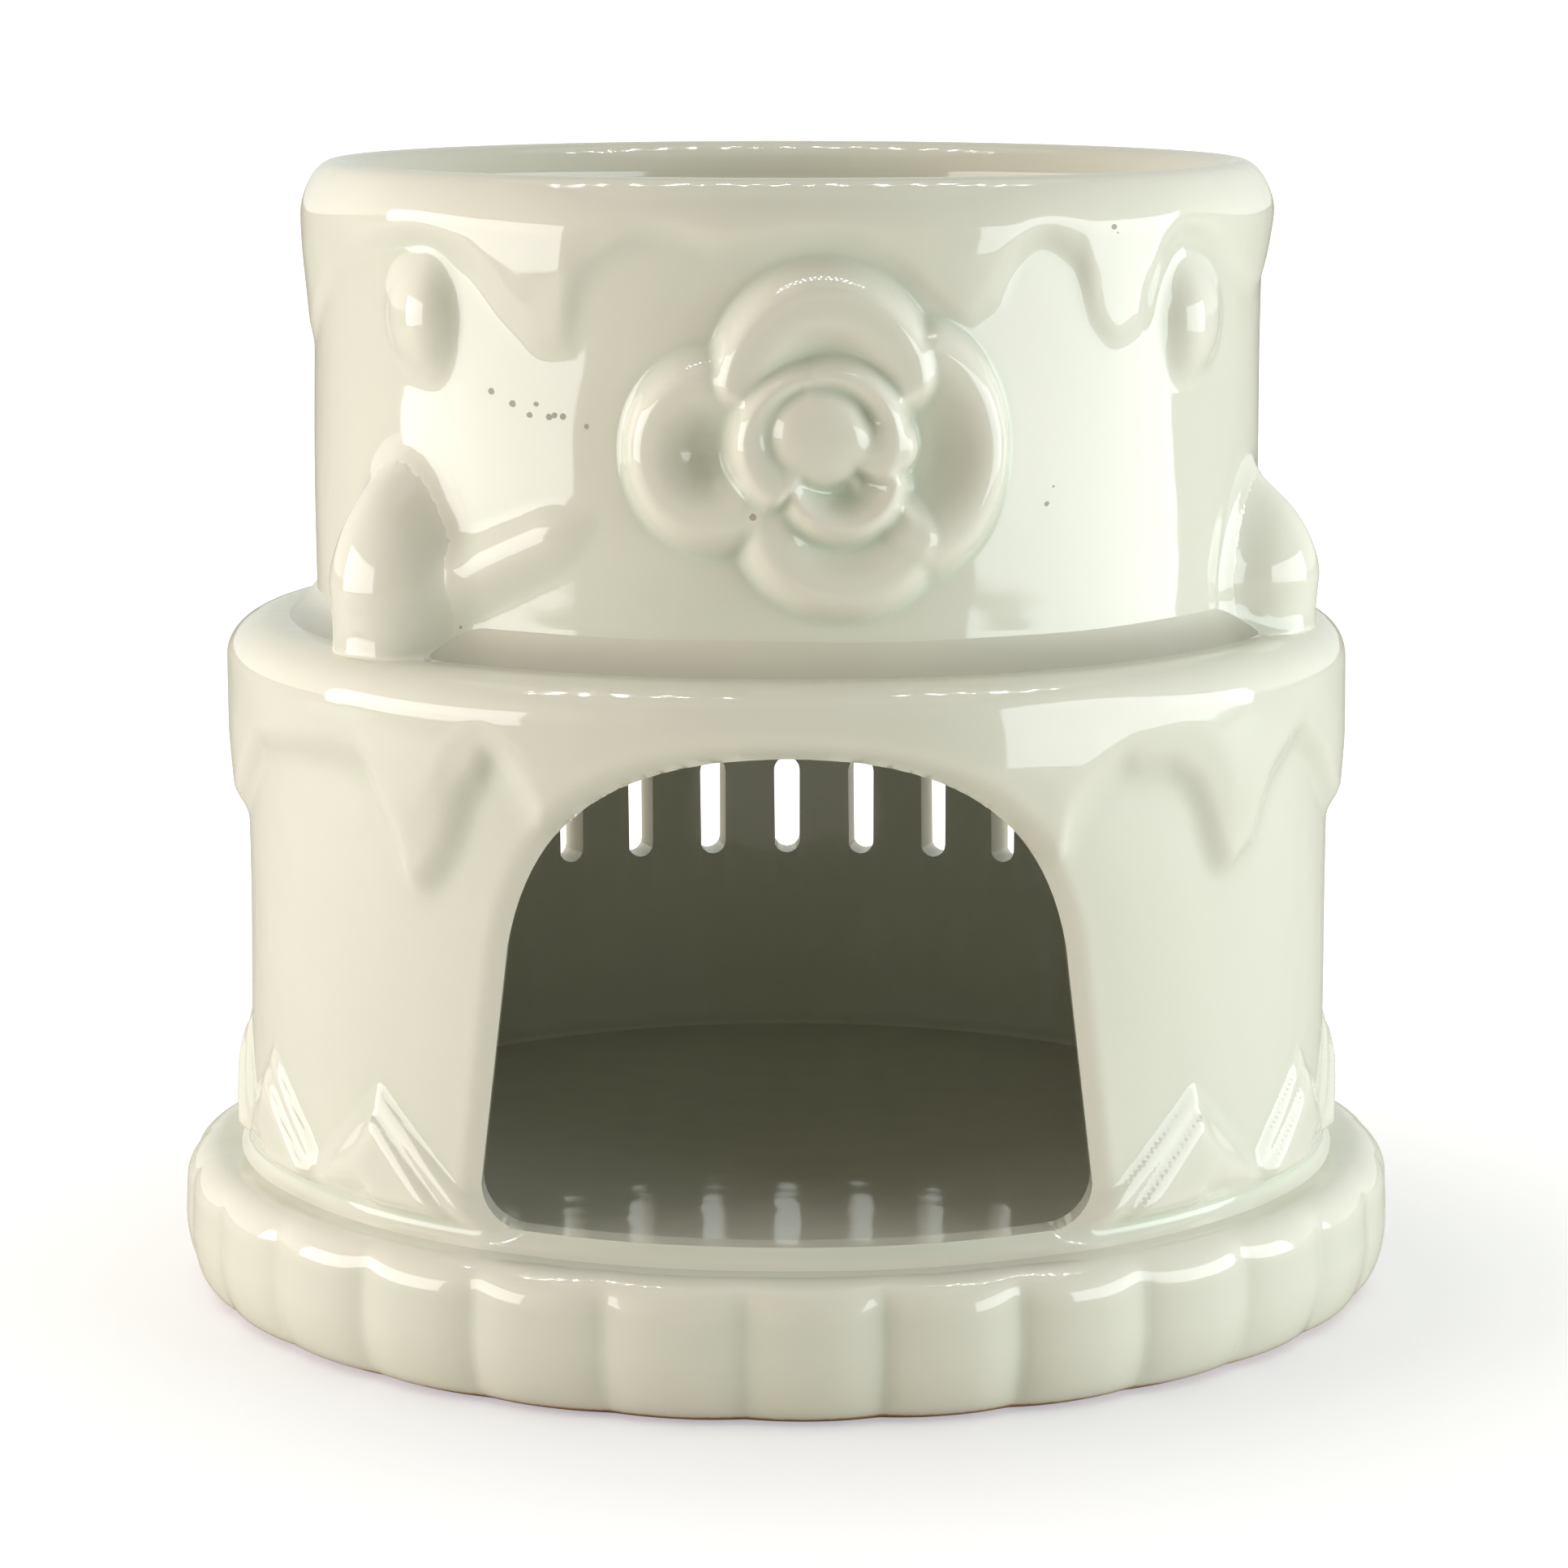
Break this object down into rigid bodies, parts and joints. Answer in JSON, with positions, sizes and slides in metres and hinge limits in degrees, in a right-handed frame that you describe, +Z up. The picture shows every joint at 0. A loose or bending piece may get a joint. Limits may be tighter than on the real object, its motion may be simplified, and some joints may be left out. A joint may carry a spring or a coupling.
{
  "type": "oil burner",
  "caption": "Cake-shaped ceramic oil burner: an oil dish on iced tiers over an arched tealight chamber, on a scalloped board.",
  "frame": {"origin": "middle of the foot, on the surface the burner stands on", "axes": "+Z up through the middle of the oil dish, -Y out through the arch and the rose, +X to the right seen from the front"},
  "size_m": [0.1198, 0.1199, 0.11],
  "materials": {
    "glaze": "glossy cream glaze"
  },
  "bodies": {
    "root": {"cake_board": "glaze", "lower_tier": "glaze", "pointed_border": "glaze", "lower_icing": "glaze", "upper_tier": "glaze", "upper_icing": "glaze", "oil_dish": "glaze", "berry_stem": "glaze", "berry_left": "glaze", "berry_right": "glaze", "berry_back": "glaze", "pearl_left": "glaze", "pearl_right": "glaze", "pearl_back": "glaze", "rose_heart": "glaze", "rose_cup": "glaze", "rose_inner_left": "glaze", "rose_inner_right": "glaze", "rose_outer_top": "glaze", "rose_outer_left": "glaze", "rose_outer_bottom": "glaze", "rose_outer_right": "glaze"}
  },
  "joints": []
}
